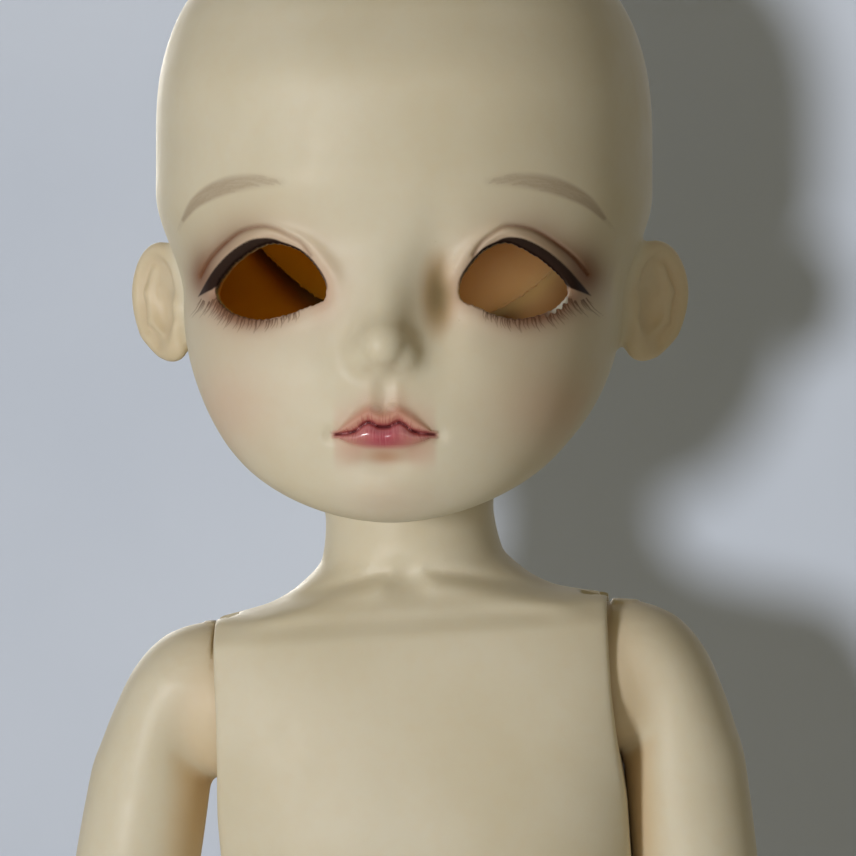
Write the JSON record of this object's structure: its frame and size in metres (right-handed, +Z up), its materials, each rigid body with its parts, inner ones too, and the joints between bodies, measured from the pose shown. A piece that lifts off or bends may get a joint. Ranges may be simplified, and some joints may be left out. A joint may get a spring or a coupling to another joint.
{
  "type": "ball-jointed doll",
  "caption": "Bald jointed resin doll, standing, with cast hollow pieces strung on elastic cord, open eye holes and a head cap held by magnets.",
  "frame": {"origin": "on the floor, at the bottom centre of the standing doll's bounding box, between the feet", "axes": "+Z up through the head, -Y the way the face looks, +X the doll's own left"},
  "size_m": [0.0823, 0.06, 0.2751],
  "materials": {
    "resin": "pale cream cast resin, sanded to a soft satin, with painted brows, lids, lips and blush",
    "elastic_cord": "off-white braided round elastic",
    "steel_wire": "bare bent steel wire",
    "magnet": "nickel-plated disc magnet"
  },
  "bodies": {
    "pelvis": {"pelvis": "resin", "pelvis_cord_left": "elastic_cord", "pelvis_cord_right": "elastic_cord"},
    "chest": {"chest": "resin", "arm_cord": "elastic_cord"},
    "neck_cord": {"neck_cord": "elastic_cord"},
    "neck_hook": {"neck_s_hook": "steel_wire"},
    "head": {"head_shell": "resin", "head_magnet_top": "magnet", "head_magnet_left": "magnet", "head_magnet_right": "magnet"},
    "head_cap": {"head_cap": "resin", "cap_magnet_top": "magnet", "cap_magnet_left": "magnet", "cap_magnet_right": "magnet"},
    "shoulder_cord_left": {"shoulder_cord_left": "elastic_cord"},
    "upper_arm_left": {"upper_arm_left": "resin", "upper_arm_cord_left": "elastic_cord"},
    "forearm_left": {"forearm_left": "resin", "forearm_cord_left": "elastic_cord"},
    "wrist_hook_left": {"wrist_s_hook_left": "steel_wire"},
    "hand_left": {"hand_left": "resin", "wrist_pin_left": "steel_wire"},
    "hip_cord_left": {"hip_cord_left": "elastic_cord"},
    "thigh_left": {"thigh_left": "resin", "thigh_cord_left": "elastic_cord"},
    "shin_left": {"shin_left": "resin", "shin_cord_left": "elastic_cord"},
    "ankle_hook_left": {"ankle_s_hook_left": "steel_wire"},
    "foot_left": {"foot_left": "resin", "ankle_pin_left": "steel_wire"},
    "shoulder_cord_right": {"shoulder_cord_right": "elastic_cord"},
    "upper_arm_right": {"upper_arm_right": "resin", "upper_arm_cord_right": "elastic_cord"},
    "forearm_right": {"forearm_right": "resin", "forearm_cord_right": "elastic_cord"},
    "wrist_hook_right": {"wrist_s_hook_right": "steel_wire"},
    "hand_right": {"hand_right": "resin", "wrist_pin_right": "steel_wire"},
    "hip_cord_right": {"hip_cord_right": "elastic_cord"},
    "thigh_right": {"thigh_right": "resin", "thigh_cord_right": "elastic_cord"},
    "shin_right": {"shin_right": "resin", "shin_cord_right": "elastic_cord"},
    "ankle_hook_right": {"ankle_s_hook_right": "steel_wire"},
    "foot_right": {"foot_right": "resin", "ankle_pin_right": "steel_wire"}
  },
  "joints": [
    {"name": "waist_bend", "type": "hinge", "parent": "pelvis", "child": "chest", "pos_m": [0, 0.0032, 0.15], "axis": [1, 0, 0], "range_deg": [-10, 15]},
    {"name": "head_turn", "type": "hinge", "parent": "chest", "child": "neck_cord", "pos_m": [0, 0.0032, 0.2175], "axis": [0, 0, 1], "range_deg": [-60, 60]},
    {"name": "head_tilt", "type": "hinge", "parent": "neck_cord", "child": "neck_hook", "pos_m": [0, 0.0032, 0.2175], "axis": [0, 1, 0], "range_deg": [-10, 10]},
    {"name": "head_nod", "type": "hinge", "parent": "neck_hook", "child": "head", "pos_m": [0, 0.0032, 0.2175], "axis": [0.9979, 0, -0.0645], "range_deg": [-15, 10]},
    {"name": "head_cap_lift", "type": "slide", "parent": "head", "child": "head_cap", "axis": [0.0262, 0.9135, 0.4059], "range_m": [0, 0.05]},
    {"name": "shoulder_swing_left", "type": "hinge", "parent": "chest", "child": "shoulder_cord_left", "pos_m": [0.0196, 0, 0.194], "axis": [-1, 0, 0], "range_deg": [-50, 110]},
    {"name": "shoulder_raise_left", "type": "hinge", "parent": "shoulder_cord_left", "child": "upper_arm_left", "pos_m": [0.02061, 0, 0.202], "axis": [0, -1, 0], "range_deg": [0, 30]},
    {"name": "elbow_bend_left", "type": "hinge", "parent": "upper_arm_left", "child": "forearm_left", "pos_m": [0.02859, 0, 0.15536], "axis": [-0.999, 0, -0.0436], "range_deg": [0, 90]},
    {"name": "wrist_twist_left", "type": "hinge", "parent": "forearm_left", "child": "wrist_hook_left", "pos_m": [0.03619, 0, 0.12246], "axis": [-0.225, 0, 0.9744], "range_deg": [-80, 80]},
    {"name": "wrist_bend_left", "type": "hinge", "parent": "wrist_hook_left", "child": "hand_left", "pos_m": [0.03619, 0, 0.12246], "axis": [0, 1, 0], "range_deg": [-25, 25]},
    {"name": "hip_twist_left", "type": "hinge", "parent": "pelvis", "child": "hip_cord_left", "pos_m": [0.0134, 0, 0.122], "axis": [0, 0, 1], "range_deg": [-25, 25]},
    {"name": "hip_swing_left", "type": "hinge", "parent": "hip_cord_left", "child": "thigh_left", "pos_m": [0.0134, 0, 0.122], "axis": [-1, 0, 0], "range_deg": [-20, 75]},
    {"name": "knee_bend_left", "type": "hinge", "parent": "thigh_left", "child": "shin_left", "pos_m": [0.0134, 0, 0.066], "axis": [1, 0, 0], "range_deg": [0, 90]},
    {"name": "ankle_twist_left", "type": "hinge", "parent": "shin_left", "child": "ankle_hook_left", "pos_m": [0.0134, 0, 0.015], "axis": [0, 0, -1], "range_deg": [-30, 30]},
    {"name": "ankle_bend_left", "type": "hinge", "parent": "ankle_hook_left", "child": "foot_left", "pos_m": [0.0134, 0, 0.015], "axis": [1, 0, 0], "range_deg": [-20, 20]},
    {"name": "shoulder_swing_right", "type": "hinge", "parent": "chest", "child": "shoulder_cord_right", "pos_m": [-0.0196, 0, 0.194], "axis": [-1, 0, 0], "range_deg": [-50, 110]},
    {"name": "shoulder_raise_right", "type": "hinge", "parent": "shoulder_cord_right", "child": "upper_arm_right", "pos_m": [-0.02061, 0, 0.202], "axis": [0, 1, 0], "range_deg": [0, 30]},
    {"name": "elbow_bend_right", "type": "hinge", "parent": "upper_arm_right", "child": "forearm_right", "pos_m": [-0.03549, 0, 0.15764], "axis": [-0.9744, 0, 0.225], "range_deg": [0, 90]},
    {"name": "wrist_twist_right", "type": "hinge", "parent": "forearm_right", "child": "wrist_hook_right", "pos_m": [-0.03841, 0, 0.12424], "axis": [0.0872, 0, 0.9962], "range_deg": [-80, 80]},
    {"name": "wrist_bend_right", "type": "hinge", "parent": "wrist_hook_right", "child": "hand_right", "pos_m": [-0.03841, 0, 0.12424], "axis": [0, -1, 0], "range_deg": [-25, 25]},
    {"name": "hip_twist_right", "type": "hinge", "parent": "pelvis", "child": "hip_cord_right", "pos_m": [-0.0134, 0, 0.122], "axis": [0, 0, -1], "range_deg": [-25, 25]},
    {"name": "hip_swing_right", "type": "hinge", "parent": "hip_cord_right", "child": "thigh_right", "pos_m": [-0.0134, 0, 0.122], "axis": [-1, 0, 0], "range_deg": [-20, 75]},
    {"name": "knee_bend_right", "type": "hinge", "parent": "thigh_right", "child": "shin_right", "pos_m": [-0.0134, 0, 0.066], "axis": [1, 0, 0], "range_deg": [0, 90]},
    {"name": "ankle_twist_right", "type": "hinge", "parent": "shin_right", "child": "ankle_hook_right", "pos_m": [-0.0134, 0, 0.015], "axis": [0, 0, 1], "range_deg": [-30, 30]},
    {"name": "ankle_bend_right", "type": "hinge", "parent": "ankle_hook_right", "child": "foot_right", "pos_m": [-0.0134, 0, 0.015], "axis": [1, 0, 0], "range_deg": [-20, 20]}
  ]
}
